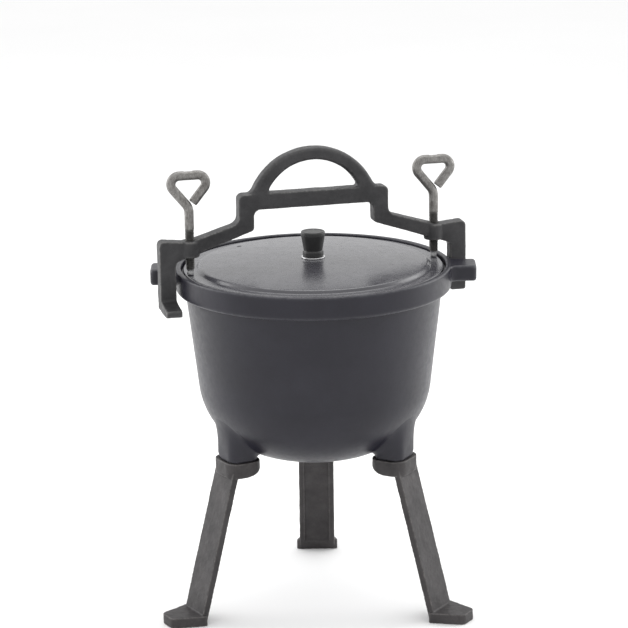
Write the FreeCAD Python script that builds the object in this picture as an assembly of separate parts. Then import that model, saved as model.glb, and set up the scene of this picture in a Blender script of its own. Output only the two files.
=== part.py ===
"""Three-legged cast iron kettle with a lid that a bayonet yoke and two eye screws hold down.

Units are millimetres.  The origin is on the floor under the axis of the pot, +Z is up, +X runs along
the two lugs of the pot, and the single rear leg stands towards +Y.
"""
import FreeCAD, Part
import math
import os

# ---------------------------------------------------------------- driving sizes
# pot: heights from the floor, radii from the axis
RIM_HEIGHT = 355.0          # top of the rim above the floor
RIM_RADIUS = 140.0          # outside of the rim band
RIM_WALL = 5.5              # wall of the band beside the lid
RIM_BAND = 23.5             # height of the band
BAND_STEP = 9.6             # how far the band stands out from the body
BODY_TAPER = 6.7            # degrees that the side leans in towards the bottom
KNUCKLE_RADIUS = 80.0       # bend between side and bottom, outside
CROWN_RADIUS = 190.0        # curve of the bottom, outside
POT_DEPTH = 202.0           # outside, from the rim to the lowest point of the bottom
POT_WALL = 5.0
SEAT_DEPTH = 7.0            # lid seat below the rim
EDGE_ROUND = 1.5

# lugs on the rim, which the yoke hooks under
LUG_REACH = 25.0            # beyond the rim band
LUG_WIDTH = 33.0
LUG_THICKNESS = 16.5
LUG_ROOT_ROUND = 8.0        # plan radius between lug and rim
LUG_CORNER_ROUND = 3.0

# cast stubs that the legs slip on to
LEG_AZIMUTHS = {"leg_front_left": 210.0, "leg_front_right": 330.0, "leg_rear": 90.0}
STUB_INSET = 38.4           # middle of a stub inside the body's outside
STUB_DEPTH = 28.0           # along the radius
STUB_WIDTH = 34.0           # across the radius
STUB_CORNER = 8.0
STUB_DROP = 3.0             # a stub reaches this far below the bottom of the bowl
SHOULDER = 2.2              # step of the stub that bears on the collar
STUB_FLARE = 13.0           # how much wider a stub has become where it leaves the pot

# legs
COLLAR_WALL = 4.6
COLLAR_HEIGHT = 15.5
COLLAR_DROP = 1.0           # collar reaches this far below the stub
SOCKET_CLEARANCE = 0.3      # stub to collar, each side
LEG_WIDTH = 37.5
LEG_THICKNESS = 7.0         # measured across the slope
LEG_INSET = 2.0             # outer face of the bar behind that of the collar
LEG_SPREAD = 40.0           # outward run of the bar's outer face from collar to floor
CHANNEL_LIP = 5.5           # width of the raised edges on the inner face
CHANNEL_DEPTH = 2.6
FOOT_WIDTH = 45.5           # at the leg
FOOT_LENGTH = 35.5          # along the radius
FOOT_THICKNESS = 10.5
FOOT_TOE = 22.0             # width of the foot plate at its outer end
FOOT_CORNER = 6.0

# lid
LID_GAP = 2.5               # round the edge of the lid, inside the rim
LID_FLANGE = 5.0            # thickness of the flat edge
FLANGE_WIDTH = 13.0         # flat edge that the screws press on
LID_STEP = 3.6              # rise from the flat edge to the dome
STEP_RUN = 3.0
DOME_RISE = 5.0             # rise of the dome from its edge to the middle
LID_WALL = 5.0
RING_DEPTH = 4.5            # locating ring under the lid
RING_WALL = 5.5
RING_CLEARANCE = 1.0        # locating ring to the bowl
SEAT_GAP = 0.2              # lid to its seat
VENT_RADIUS = 2.5
VENT_INSET = 29.0           # from the edge of the lid
VENT_AZIMUTH = 138.0

# knob and its bolt
KNOB_HEIGHT = 26.0
KNOB_TOP_RADIUS = 12.2
KNOB_WAIST_RADIUS = 9.4
KNOB_FOOT_RADIUS = 10.6
KNOB_FOOT_HEIGHT = 5.0
KNOB_CAP = 4.0              # height of the straight rim at the top
KNOB_EDGE_ROUND = 0.5
KNOB_FOOT_ROUND = 1.0
KNOB_WAIST_ROUND = 0.3
KNOB_CAP_ROUND = 2.0
SEAT_WASHER_RADIUS = 12.0
SEAT_WASHER_THICKNESS = 1.5
BOLT_RADIUS = 3.0
BOLT_CLEARANCE = 0.08       # bolt to the hole in the lid, on the radius
BOLT_IN_KNOB = 16.0
THREAD_BITE = 0.1           # overlap of the bolt's thread with the knob's, on the radius
BOLT_HEAD_RADIUS = 5.4
BOLT_HEAD_HEIGHT = 3.6
BOLT_WASHER_RADIUS = 8.0
BOLT_WASHER_THICKNESS = 1.2
PAD_MARGIN = 1.0            # flat pads on the lid beyond the washers
TURN_GAP = 0.1              # washers to the lid, so that the knob can turn

# yoke, heights above the tips of the clamp screws
YOKE_THICKNESS = 14.0
LEG_TO_RIM = 3.5            # yoke leg to the rim band
YOKE_LEG_WIDTH = 16.5
YOKE_LEG_TOP = 37.5
YOKE_LEG_BOTTOM = -35.5
ARM_UNDER_LEG = 14.6        # underside of the arm where it meets the leg
ARM_SHOULDER = 49.8         # top of the arm where it meets the drop
ARM_TOP = 35.5              # top of the arm over the screw
DROP_BOTTOM = 42.1
BAR_TOP = 79.3
BAR_DEPTH = 16.3
BAR_HALF = 78.0             # half the length of the bar
DROP_WIDTH = 15.9
ARCH_RISE = 44.1            # handle above the bar
ARCH_HALF = 64.3            # half the span of the handle, outside
ARCH_SECTION = 13.3         # thickness of the handle at its top
ARCH_INNER_HALF = 47.4
ARCH_ROUND = 5.0            # where the handle meets the bar
TAB_LENGTH = 26.0
TAB_ROOT = 10.5             # thickness of the hook tab at the leg
TAB_TIP = 7.0
TAB_BURY = 1.0              # how far the tab starts inside the leg
OUTER_ROUND = 5.0           # outline of the yoke: outer corners of bar, leg and drop
SHOULDER_ROUND = 6.0
ARM_ROUND = 8.0
LEG_TIP_ROUND = 2.0
DROP_ROUND = 4.0
PARK_ANGLE = 14.5           # degrees between the arms and the lugs when the yoke is set down

# clamp screws
SCREW_RADIUS = 4.75
SCREW_CLEARANCE = 0.08      # screw to its hole, on the radius
SCREW_INSET = 4.5           # screw axis from the edge of the lid
BOSS_RADIUS = 10.0
BOSS_DROP = 2.0             # boss below the underside of the arm
POINT_RADIUS = 3.5
POINT_LENGTH = 6.0
TIP_GAP = 0.3               # screw point to the lid
NECK_HEIGHT = 68.8          # where the rod bends away from the axis
EYE_TOP = 101.7             # middle of the rod at the top of the eye
EYE_HALF = 26.9             # half the eye, between the corners of its middle line
EYE_ROUND = 8.3
NECK_ROUND = 14.0
EYE_OPENING = 0.4           # gap between the rod's end and the other side of the eye

# ---------------------------------------------------------------- derived places
seat_height = RIM_HEIGHT - SEAT_DEPTH
pot_bottom = RIM_HEIGHT - POT_DEPTH
band_bottom = RIM_HEIGHT - RIM_BAND
body_radius = RIM_RADIUS - BAND_STEP
mouth_radius = RIM_RADIUS - RIM_WALL
bowl_mouth_radius = body_radius - POT_WALL / math.cos(math.radians(BODY_TAPER))
stub_radius = body_radius - STUB_INSET
stub_bottom = pot_bottom - STUB_DROP
stub_shoulder = stub_bottom - COLLAR_DROP + COLLAR_HEIGHT
lid_radius = mouth_radius - LID_GAP
flange_bottom = seat_height + SEAT_GAP
flange_top = flange_bottom + LID_FLANGE
dome_edge_radius = lid_radius - FLANGE_WIDTH - STEP_RUN
dome_edge_height = flange_top + LID_STEP
dome_top = dome_edge_height + DOME_RISE
dome_underside = dome_top - LID_WALL
tip_height = flange_top + TIP_GAP
screw_offset = lid_radius - SCREW_INSET
vent_offset = lid_radius - VENT_INSET
yoke_leg_inner = RIM_RADIUS + LEG_TO_RIM
yoke_leg_outer = yoke_leg_inner + YOKE_LEG_WIDTH


def vec(x, y, z):
    return FreeCAD.Vector(x, y, z)


def turned(shape, degrees):
    """The shape turned about the axis of the pot."""
    copy = shape.copy()
    copy.rotate(vec(0, 0, 0), vec(0, 0, 1), degrees)
    return copy


def raised(shape, x, y, z):
    copy = shape.copy()
    copy.translate(vec(x, y, z))
    return copy


def cylinder(radius, bottom, top, x=0.0, y=0.0):
    return Part.makeCylinder(radius, top - bottom, vec(x, y, bottom))


def rounded_outline(corners, place):
    """A closed wire through corners (a, b, radius); place(a, b) gives each point in space.

    Two neighbouring sides are joined by a tangent arc of the corner's radius."""
    edges = []
    ends = []
    count = len(corners)
    for i in range(count):
        a, b, radius = corners[i]
        before = corners[i - 1]
        after = corners[(i + 1) % count]
        in_x, in_y = a - before[0], b - before[1]
        out_x, out_y = after[0] - a, after[1] - b
        in_len, out_len = math.hypot(in_x, in_y), math.hypot(out_x, out_y)
        in_x, in_y, out_x, out_y = in_x / in_len, in_y / in_len, out_x / out_len, out_y / out_len
        cross = in_x * out_y - in_y * out_x
        turn = math.atan2(cross, in_x * out_x + in_y * out_y)
        if radius == 0.0:
            ends.append(((a, b), (a, b)))
            continue
        back = radius * math.tan(abs(turn) / 2)
        start = (a - in_x * back, b - in_y * back)
        stop = (a + out_x * back, b + out_y * back)
        side = 1.0 if cross > 0 else -1.0
        centre = (start[0] - side * in_y * radius, start[1] + side * in_x * radius)
        to_corner = math.hypot(a - centre[0], b - centre[1])
        middle = (centre[0] + (a - centre[0]) * radius / to_corner,
                  centre[1] + (b - centre[1]) * radius / to_corner)
        edges.append((i, Part.Arc(place(*start), place(*middle), place(*stop)).toShape()))
        ends.append((start, stop))
    ordered = []
    arcs = dict(edges)
    for i in range(count):
        if i in arcs:
            ordered.append(arcs[i])
        start = place(*ends[i][1])
        stop = place(*ends[(i + 1) % count][0])
        if start.distanceToPoint(stop) > 1e-6:
            ordered.append(Part.LineSegment(start, stop).toShape())
    return Part.Wire(ordered)


def plate(corners, bottom, top):
    """A flat plate from bottom to top with a rounded outline in X and Y."""
    wire = rounded_outline(corners, lambda a, b: vec(a, b, bottom))
    return Part.Face(wire).extrude(vec(0, 0, top - bottom))


def slab(corners, thickness):
    """A rounded outline in X and Z, extruded by half the thickness to each side of Y = 0."""
    wire = rounded_outline(corners, lambda a, b: vec(a, -thickness / 2, b))
    return Part.Face(wire).extrude(vec(0, thickness, 0))


def box_outline(x_low, x_high, y_low, y_high, radius):
    return [(x_low, y_low, radius), (x_high, y_low, radius), (x_high, y_high, radius),
            (x_low, y_high, radius)]


def spun(corners):
    """A rounded outline in radius and height, revolved about the axis of the pot."""
    wire = rounded_outline(corners, lambda a, b: vec(a, 0, b))
    return Part.Face(wire).revolve(vec(0, 0, 0), vec(0, 0, 1), 360)


def bowl(wall):
    """The solid inside the bowl's outer surface, moved in by wall, from its bottom to the band.

    In section the side leans in by BODY_TAPER, a knuckle arc is tangent to it, and a crown arc is
    tangent to the knuckle and centred on the axis."""
    lean = math.radians(BODY_TAPER)
    top = band_bottom
    crown_centre = pot_bottom + CROWN_RADIUS
    # the knuckle's centre lies KNUCKLE_RADIUS inside the side line and
    # CROWN_RADIUS - KNUCKLE_RADIUS from the crown's centre
    side = body_radius * math.cos(lean) - top * math.sin(lean) - KNUCKLE_RADIUS
    slope = math.tan(lean)
    reach = CROWN_RADIUS - KNUCKLE_RADIUS
    start = side / math.cos(lean)
    quad_a = slope ** 2 + 1
    quad_b = 2 * start * slope - 2 * crown_centre
    quad_c = start ** 2 + crown_centre ** 2 - reach ** 2
    knuckle_z = (-quad_b - math.sqrt(quad_b ** 2 - 4 * quad_a * quad_c)) / (2 * quad_a)
    knuckle_r = start + knuckle_z * slope
    meet = math.atan2(knuckle_z - crown_centre, knuckle_r)

    def on_knuckle(angle):
        radius = KNUCKLE_RADIUS - wall
        return vec(knuckle_r + radius * math.cos(angle), 0, knuckle_z + radius * math.sin(angle))

    def on_crown(angle):
        radius = CROWN_RADIUS - wall
        return vec(radius * math.cos(angle), 0, crown_centre + radius * math.sin(angle))

    down = -math.pi / 2
    top_radius = body_radius - wall / math.cos(lean)
    rim_level = RIM_HEIGHT if wall == 0 else seat_height
    edges = [
        Part.LineSegment(vec(0, 0, rim_level), vec(top_radius, 0, rim_level)).toShape(),
        Part.LineSegment(vec(top_radius, 0, rim_level), vec(top_radius, 0, top)).toShape(),
        Part.LineSegment(vec(top_radius, 0, top), on_knuckle(-lean)).toShape(),
        Part.Arc(on_knuckle(-lean), on_knuckle((meet - lean) / 2), on_knuckle(meet)).toShape(),
        Part.Arc(on_crown(meet), on_crown((meet + down) / 2), on_crown(down)).toShape(),
        Part.LineSegment(on_crown(down), vec(0, 0, rim_level)).toShape(),
    ]
    return Part.Face(Part.Wire(edges)).revolve(vec(0, 0, 0), vec(0, 0, 1), 360)


def stub():
    """One stub on the +X side: a straight socket end, a shoulder, and a flare into the bowl."""
    inner = stub_radius - STUB_DEPTH / 2
    outer = stub_radius + STUB_DEPTH / 2
    half = STUB_WIDTH / 2
    end = plate(box_outline(inner, outer, -half, half, STUB_CORNER), stub_bottom, stub_shoulder)
    top = band_bottom - KNUCKLE_RADIUS
    low = rounded_outline(
        box_outline(inner - SHOULDER, outer + SHOULDER, -half - SHOULDER, half + SHOULDER,
                    STUB_CORNER + SHOULDER),
        lambda a, b: vec(a, b, stub_shoulder))
    outer_top = body_radius - (band_bottom - top) * math.tan(math.radians(BODY_TAPER)) - POT_WALL / 2
    high = rounded_outline(
        box_outline(inner - STUB_FLARE, outer_top, -half - STUB_FLARE, half + STUB_FLARE,
                    STUB_CORNER + SHOULDER),
        lambda a, b: vec(a, b, top))
    return end.fuse(Part.makeLoft([low, high], True, True))


def lugs():
    """Two lugs on the rim, flush with its top, with rounded roots."""
    half = LUG_WIDTH / 2
    end = RIM_RADIUS + LUG_REACH
    root = body_radius
    bar = plate(box_outline(-end, end, -half, half, LUG_CORNER_ROUND), RIM_HEIGHT - LUG_THICKNESS,
                RIM_HEIGHT)
    centre_y = half + LUG_ROOT_ROUND
    centre_x = math.sqrt((RIM_RADIUS + LUG_ROOT_ROUND) ** 2 - centre_y ** 2)
    web = Part.makeBox(2 * centre_x, 2 * centre_y, LUG_THICKNESS,
                       vec(-centre_x, -centre_y, RIM_HEIGHT - LUG_THICKNESS))
    solid = bar.fuse(web)
    for x in (-centre_x, centre_x):
        for y in (-centre_y, centre_y):
            solid = solid.cut(cylinder(LUG_ROOT_ROUND, RIM_HEIGHT - LUG_THICKNESS, RIM_HEIGHT, x, y))
    return solid.cut(cylinder(root, 0, RIM_HEIGHT + 1))


def pot():
    band = spun([(body_radius - POT_WALL, band_bottom, 0.0),
                 (RIM_RADIUS, band_bottom, 2 * EDGE_ROUND),
                 (RIM_RADIUS, RIM_HEIGHT, EDGE_ROUND),
                 (body_radius - POT_WALL, RIM_HEIGHT, 0.0)])
    solid = bowl(0.0).fuse(band).fuse(lugs())
    for azimuth in LEG_AZIMUTHS.values():
        solid = solid.fuse(turned(stub(), azimuth))
    solid = solid.cut(bowl(POT_WALL))
    solid = solid.cut(cylinder(mouth_radius, seat_height, RIM_HEIGHT + 1))
    return solid.removeSplitter()


def leg():
    """One leg on the +X side: collar, sloping bar with a channel on its inner face, foot plate."""
    inner = stub_radius - STUB_DEPTH / 2 - SOCKET_CLEARANCE
    outer = stub_radius + STUB_DEPTH / 2 + SOCKET_CLEARANCE
    half = STUB_WIDTH / 2 + SOCKET_CLEARANCE
    bottom = stub_shoulder - COLLAR_HEIGHT
    back = inner - COLLAR_WALL
    front = outer + COLLAR_WALL
    blank = plate(box_outline(back, front, -half - COLLAR_WALL, half + COLLAR_WALL,
                              STUB_CORNER + COLLAR_WALL), bottom, stub_shoulder)
    # the underside of the collar curves up towards the axis
    under = slab([(back - 1, bottom - 1, 0.0), (inner + STUB_DEPTH / 2, bottom - 1, 0.0),
                  (inner + STUB_DEPTH / 2, bottom, 0.0), (inner, bottom, STUB_CORNER),
                  (back - 1, bottom + COLLAR_HEIGHT / 2, 0.0)], 4 * half)
    socket = plate(box_outline(inner, outer, -half, half, STUB_CORNER + SOCKET_CLEARANCE),
                   bottom - 1, stub_shoulder + 1)
    slope = LEG_SPREAD / bottom
    across = LEG_THICKNESS * math.hypot(1, slope)
    join = bottom + COLLAR_HEIGHT / 2
    foot_line = front - LEG_INSET + LEG_SPREAD
    top_outer = foot_line - slope * join
    bar = slab([(foot_line, 0, 0.0), (top_outer, join, 0.0), (top_outer - across, join, 0.0),
                (foot_line - across, 0, 0.0)], LEG_WIDTH)
    foot_back = foot_line - across
    # channel between the raised edges, from the foot to just under the collar
    deep = CHANNEL_DEPTH * math.hypot(1, slope)
    channel_low = FOOT_THICKNESS
    channel_high = bottom - CHANNEL_DEPTH
    low_r = foot_back - slope * channel_low
    high_r = foot_back - slope * channel_high
    channel = slab([(low_r - 1, channel_low, 0.0), (low_r + deep, channel_low, 0.0),
                    (high_r + deep, channel_high, 0.0), (high_r - 1, channel_high, 0.0)],
                   LEG_WIDTH - 2 * CHANNEL_LIP)
    heel, toe = FOOT_WIDTH / 2, FOOT_TOE / 2
    foot_front = foot_back + FOOT_LENGTH
    foot_outline = [(foot_back, -heel, EDGE_ROUND), (foot_front, -toe, FOOT_CORNER),
                    (foot_front, toe, FOOT_CORNER), (foot_back, heel, EDGE_ROUND)]
    foot = plate(foot_outline, 0, FOOT_THICKNESS)
    solid = blank.cut(under).fuse(bar.cut(channel)).fuse(foot).cut(socket)
    return solid.removeSplitter()


def lid():
    ring_radius = bowl_mouth_radius - RING_CLEARANCE
    ring_inner = ring_radius - RING_WALL
    hole = BOLT_RADIUS + BOLT_CLEARANCE
    dome_radius = ((dome_edge_radius ** 2) + DOME_RISE ** 2) / (2 * DOME_RISE)

    def dome_point(radius, drop):
        """A point of the dome's arc, the whole arc lowered by drop."""
        height = math.sqrt(dome_radius ** 2 - radius ** 2) - (dome_radius - DOME_RISE)
        return vec(radius, 0, dome_edge_height + height - drop)

    def line(start, stop):
        return Part.LineSegment(start, stop).toShape()

    def arc(first, last, drop):
        middle = dome_point((first + last) / 2, drop)
        return Part.Arc(dome_point(first, drop), middle, dome_point(last, drop)).toShape()

    under_edge = dome_point(ring_inner - STEP_RUN, LID_WALL)
    points = [dome_point(dome_edge_radius, 0), vec(dome_edge_radius + STEP_RUN, 0, flange_top),
              vec(lid_radius, 0, flange_top), vec(lid_radius, 0, flange_bottom),
              vec(ring_radius, 0, flange_bottom), vec(ring_radius, 0, flange_bottom - RING_DEPTH),
              vec(ring_inner, 0, flange_bottom - RING_DEPTH), under_edge]
    edges = [arc(hole, dome_edge_radius, 0)]
    edges += [line(points[i], points[i + 1]) for i in range(len(points) - 1)]
    edges.append(arc(ring_inner - STEP_RUN, hole, LID_WALL))
    edges.append(line(dome_point(hole, LID_WALL), dome_point(hole, 0)))
    solid = Part.Face(Part.Wire(edges)).revolve(vec(0, 0, 0), vec(0, 0, 1), 360)
    # flat pads for the two washers
    pad = cylinder(SEAT_WASHER_RADIUS + PAD_MARGIN, dome_underside + LID_WALL / 2, dome_top)
    solid = solid.fuse(pad.cut(cylinder(hole, dome_underside, dome_top + 1)))
    lower_pad = cylinder(BOLT_WASHER_RADIUS + PAD_MARGIN, dome_underside - 1, dome_underside)
    solid = solid.cut(lower_pad)
    angle = math.radians(VENT_AZIMUTH)
    vent = cylinder(VENT_RADIUS, flange_bottom - 2 * LID_WALL, dome_top + 1,
                    vent_offset * math.cos(angle), vent_offset * math.sin(angle))
    return solid.cut(vent).removeSplitter()


washer_bottom = dome_top + TURN_GAP
knob_bottom = washer_bottom + SEAT_WASHER_THICKNESS
bolt_washer_top = dome_underside - TURN_GAP


def knob():
    top = knob_bottom + KNOB_HEIGHT
    foot_top = knob_bottom + KNOB_FOOT_HEIGHT
    body = spun([(0, knob_bottom, 0.0), (KNOB_FOOT_RADIUS, knob_bottom, KNOB_EDGE_ROUND),
                 (KNOB_FOOT_RADIUS, foot_top, KNOB_FOOT_ROUND),
                 (KNOB_WAIST_RADIUS, foot_top, KNOB_WAIST_ROUND),
                 (KNOB_TOP_RADIUS, top - KNOB_CAP, KNOB_CAP_ROUND), (KNOB_TOP_RADIUS, top, EDGE_ROUND),
                 (0, top, 0.0)])
    return body.cut(cylinder(BOLT_RADIUS - THREAD_BITE, knob_bottom - 1, knob_bottom + BOLT_IN_KNOB))


def knob_seat_washer():
    ring = cylinder(SEAT_WASHER_RADIUS, washer_bottom, knob_bottom)
    return ring.cut(cylinder(BOLT_RADIUS + TURN_GAP, washer_bottom - 1, knob_bottom + 1))


def bolt_washer():
    bottom = bolt_washer_top - BOLT_WASHER_THICKNESS
    ring = cylinder(BOLT_WASHER_RADIUS, bottom, bolt_washer_top)
    return ring.cut(cylinder(BOLT_RADIUS + TURN_GAP, bottom - 1, bolt_washer_top + 1))


def knob_bolt():
    head_top = bolt_washer_top - BOLT_WASHER_THICKNESS
    head_bottom = head_top - BOLT_HEAD_HEIGHT
    head = spun([(0, head_bottom, 0.0), (BOLT_HEAD_RADIUS, head_bottom, EDGE_ROUND),
                 (BOLT_HEAD_RADIUS, head_top, 0.0), (0, head_top, 0.0)])
    return head.fuse(cylinder(BOLT_RADIUS, head_top, knob_bottom + BOLT_IN_KNOB)).removeSplitter()


def handle_arch():
    """The half-ring handle: an outer and an inner arc, each rounded into the top of the bar."""
    outer_radius = (ARCH_HALF ** 2 + ARCH_RISE ** 2) / (2 * ARCH_RISE)
    outer_centre = BAR_TOP + ARCH_RISE - outer_radius
    inner_rise = ARCH_RISE - ARCH_SECTION
    inner_radius = (ARCH_INNER_HALF ** 2 + inner_rise ** 2) / (2 * inner_rise)
    inner_centre = BAR_TOP + inner_rise - inner_radius
    y = -YOKE_THICKNESS / 2

    def foot(radius, centre, reach):
        """Middle of the small arc beside the bar, and where it leaves the large arc."""
        z = BAR_TOP + ARCH_ROUND
        x = math.sqrt(reach ** 2 - (z - centre) ** 2)
        scale = radius / reach
        return x, (x * scale, centre + (z - centre) * scale)

    def region(radius, centre, reach, floor):
        x, leave = foot(radius, centre, reach)
        middle_x, middle_z = leave[0] - x, leave[1] - (BAR_TOP + ARCH_ROUND)
        bisect_x, bisect_z = middle_x / ARCH_ROUND, middle_z / ARCH_ROUND - 1
        size = math.hypot(bisect_x, bisect_z) / ARCH_ROUND
        mid = (x + bisect_x / size, BAR_TOP + ARCH_ROUND + bisect_z / size)
        right = Part.Arc(vec(x, y, BAR_TOP), vec(mid[0], y, mid[1]), vec(leave[0], y, leave[1]))
        large = Part.Arc(vec(leave[0], y, leave[1]), vec(0, y, centre + radius),
                         vec(-leave[0], y, leave[1]))
        left = Part.Arc(vec(-leave[0], y, leave[1]), vec(-mid[0], y, mid[1]), vec(-x, y, BAR_TOP))
        edges = [right.toShape(), large.toShape(), left.toShape()]
        corners = [vec(-x, y, BAR_TOP), vec(-x, y, floor), vec(x, y, floor), vec(x, y, BAR_TOP)]
        if floor == BAR_TOP:
            corners = [corners[0], corners[3]]
        for i in range(len(corners) - 1):
            edges.append(Part.LineSegment(corners[i], corners[i + 1]).toShape())
        return Part.Face(Part.Wire(edges)).extrude(vec(0, YOKE_THICKNESS, 0))

    ring = region(outer_radius, outer_centre, outer_radius + ARCH_ROUND, BAR_TOP - BAR_DEPTH / 2)
    return ring.cut(region(inner_radius, inner_centre, inner_radius - ARCH_ROUND, BAR_TOP))


def yoke():
    """The yoke along X, its screws' tips at height zero."""
    bar_bottom = BAR_TOP - BAR_DEPTH
    drop_inner = BAR_HALF - DROP_WIDTH
    half = [(BAR_HALF, BAR_TOP, OUTER_ROUND), (BAR_HALF, ARM_SHOULDER, SHOULDER_ROUND),
            (screw_offset - BOSS_RADIUS / 2, ARM_TOP, ARM_ROUND),
            (yoke_leg_outer, YOKE_LEG_TOP, OUTER_ROUND),
            (yoke_leg_outer, YOKE_LEG_BOTTOM, LEG_TIP_ROUND),
            (yoke_leg_inner, YOKE_LEG_BOTTOM, LEG_TIP_ROUND),
            (yoke_leg_inner, ARM_UNDER_LEG, OUTER_ROUND), (drop_inner, DROP_BOTTOM, DROP_ROUND),
            (drop_inner, bar_bottom, OUTER_ROUND)]
    other = [(-a, b, radius) for a, b, radius in reversed(half)]
    solid = slab(half + other, YOKE_THICKNESS).fuse(handle_arch())
    # the arm's underside rises evenly from the leg to the drop
    share = (yoke_leg_inner - screw_offset) / (yoke_leg_inner - drop_inner)
    boss_bottom = ARM_UNDER_LEG + share * (DROP_BOTTOM - ARM_UNDER_LEG) - BOSS_DROP
    side = YOKE_THICKNESS / 2
    tab_wire = Part.makePolygon([
        vec(yoke_leg_inner, side - TAB_BURY, YOKE_LEG_BOTTOM),
        vec(yoke_leg_inner, side + TAB_LENGTH, YOKE_LEG_BOTTOM),
        vec(yoke_leg_inner, side + TAB_LENGTH, YOKE_LEG_BOTTOM + TAB_TIP),
        vec(yoke_leg_inner, side - TAB_BURY, YOKE_LEG_BOTTOM + TAB_ROOT),
        vec(yoke_leg_inner, side - TAB_BURY, YOKE_LEG_BOTTOM)])
    tab = Part.Face(tab_wire).extrude(vec(YOKE_LEG_WIDTH, 0, 0))
    for half_turn in (0, 180):
        solid = solid.fuse(turned(tab, half_turn))
        boss = cylinder(BOSS_RADIUS, boss_bottom, ARM_TOP, screw_offset)
        solid = solid.fuse(turned(boss, half_turn))
    for half_turn in (0, 180):
        bore = cylinder(SCREW_RADIUS + SCREW_CLEARANCE, 0, BAR_TOP, screw_offset)
        solid = solid.cut(turned(bore, half_turn))
    return raised(turned(solid.removeSplitter(), PARK_ANGLE), 0, 0, tip_height)


def clamp_screw():
    """One screw on the Z axis, its tip at height zero, bent from one rod with its eye in X and Z."""
    lean = math.atan2(EYE_HALF, EYE_TOP - NECK_HEIGHT)
    # the inner edge of the rod's end stops just short of the other side of the eye
    back = (SCREW_RADIUS * (1 + math.cos(2 * lean)) + EYE_OPENING) / math.sin(2 * lean)
    corners = [(0, POINT_LENGTH, 0.0), (0, NECK_HEIGHT, NECK_ROUND), (-EYE_HALF, EYE_TOP, EYE_ROUND),
               (EYE_HALF, EYE_TOP, EYE_ROUND),
               (back * math.sin(lean), NECK_HEIGHT + back * math.cos(lean), 0.0)]
    edges = []
    here = vec(corners[0][0], 0, corners[0][1])
    for i in range(1, len(corners) - 1):
        a, b, radius = corners[i]
        in_x, in_z = a - corners[i - 1][0], b - corners[i - 1][1]
        out_x, out_z = corners[i + 1][0] - a, corners[i + 1][1] - b
        in_len, out_len = math.hypot(in_x, in_z), math.hypot(out_x, out_z)
        into = vec(in_x / in_len, 0, in_z / in_len)
        away = vec(out_x / out_len, 0, out_z / out_len)
        tangent = radius * math.tan(into.getAngle(away) / 2)
        corner = vec(a, 0, b)
        start = corner - into * tangent
        stop = corner + away * tangent
        inward = (away - into)
        inward.normalize()
        centre = corner + inward * math.hypot(tangent, radius)
        edges.append(Part.LineSegment(here, start).toShape())
        edges.append(Part.Arc(start, centre - inward * radius, stop).toShape())
        here = stop
    edges.append(Part.LineSegment(here, vec(corners[-1][0], 0, corners[-1][1])).toShape())
    section = Part.Wire(Part.makeCircle(SCREW_RADIUS, vec(0, 0, POINT_LENGTH), vec(0, 0, 1)))
    rod = Part.Wire(edges).makePipeShell([section], True, False)
    return rod.fuse(cylinder(POINT_RADIUS, 0, POINT_LENGTH)).removeSplitter()


def placed_screw(side):
    return raised(turned(raised(clamp_screw(), side * screw_offset, 0, 0), PARK_ANGLE), 0, 0, tip_height)


def nodes():
    made = {"pot": pot(), "lid": lid(), "knob": knob(), "knob_seat_washer": knob_seat_washer(),
            "knob_bolt": knob_bolt(), "bolt_washer": bolt_washer(), "yoke": yoke(),
            "left_clamp_screw": placed_screw(-1), "right_clamp_screw": placed_screw(1)}
    for name, azimuth in LEG_AZIMUTHS.items():
        made[name] = turned(leg(), azimuth)
    return made


os.makedirs("parts", exist_ok=True)
for name, shape in nodes().items():
    box = shape.BoundBox
    print(f"{name:20s} solids {len(shape.Solids)} valid {shape.isValid()}",
          f"volume {shape.Volume / 1000:8.1f} cm3  x {box.XMin:7.1f} {box.XMax:7.1f}",
          f"y {box.YMin:7.1f} {box.YMax:7.1f}  z {box.ZMin:7.1f} {box.ZMax:7.1f}")
    shape.exportStep(f"parts/{name}.step")
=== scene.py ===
# %% [markdown]
# # A three-legged cast iron kettle
# The kettle is a round pot on three slip-on legs. Its lid is held down by a yoke that hooks under
# two lugs on the rim, and two eye screws in the yoke press on the lid. The frame that is loaded here
# says where each piece is and how it moves. Every surface is then made again, finer, in its place.

# %% Loading the frame
import math
import bmesh
import bpy
import numpy as np
from mathutils import Matrix, Vector


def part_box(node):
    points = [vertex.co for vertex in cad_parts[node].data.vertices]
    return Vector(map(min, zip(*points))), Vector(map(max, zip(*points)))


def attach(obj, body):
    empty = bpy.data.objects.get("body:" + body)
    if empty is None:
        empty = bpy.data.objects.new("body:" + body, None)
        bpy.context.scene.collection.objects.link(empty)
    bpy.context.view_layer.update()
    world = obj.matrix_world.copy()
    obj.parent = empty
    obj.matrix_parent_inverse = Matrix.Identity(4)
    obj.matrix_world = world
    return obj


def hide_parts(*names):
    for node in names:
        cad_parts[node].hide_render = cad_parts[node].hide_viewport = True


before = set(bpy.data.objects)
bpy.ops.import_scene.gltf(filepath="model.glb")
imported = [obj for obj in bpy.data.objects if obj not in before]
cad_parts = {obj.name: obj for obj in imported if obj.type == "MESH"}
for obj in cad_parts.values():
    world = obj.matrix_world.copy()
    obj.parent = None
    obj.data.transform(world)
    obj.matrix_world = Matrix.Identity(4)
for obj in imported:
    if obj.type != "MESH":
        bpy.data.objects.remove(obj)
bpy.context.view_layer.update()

MM = 0.001                                    # shapes are worked out in millimetres


def corners(node):
    """A node's lowest and highest corner, in millimetres."""
    low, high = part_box(node)
    return np.array(low) / MM, np.array(high) / MM


# %% [markdown]
# ## Helpers for surfaces
# A casting is a closed skin. Each skin here is a grid: rows of points that are joined to the rows
# beside them. A turned shape is a profile carried round an axis, and a loft is a row of loops. Working
# on whole arrays keeps each shape a formula that can be read, instead of a list of points.

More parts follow.
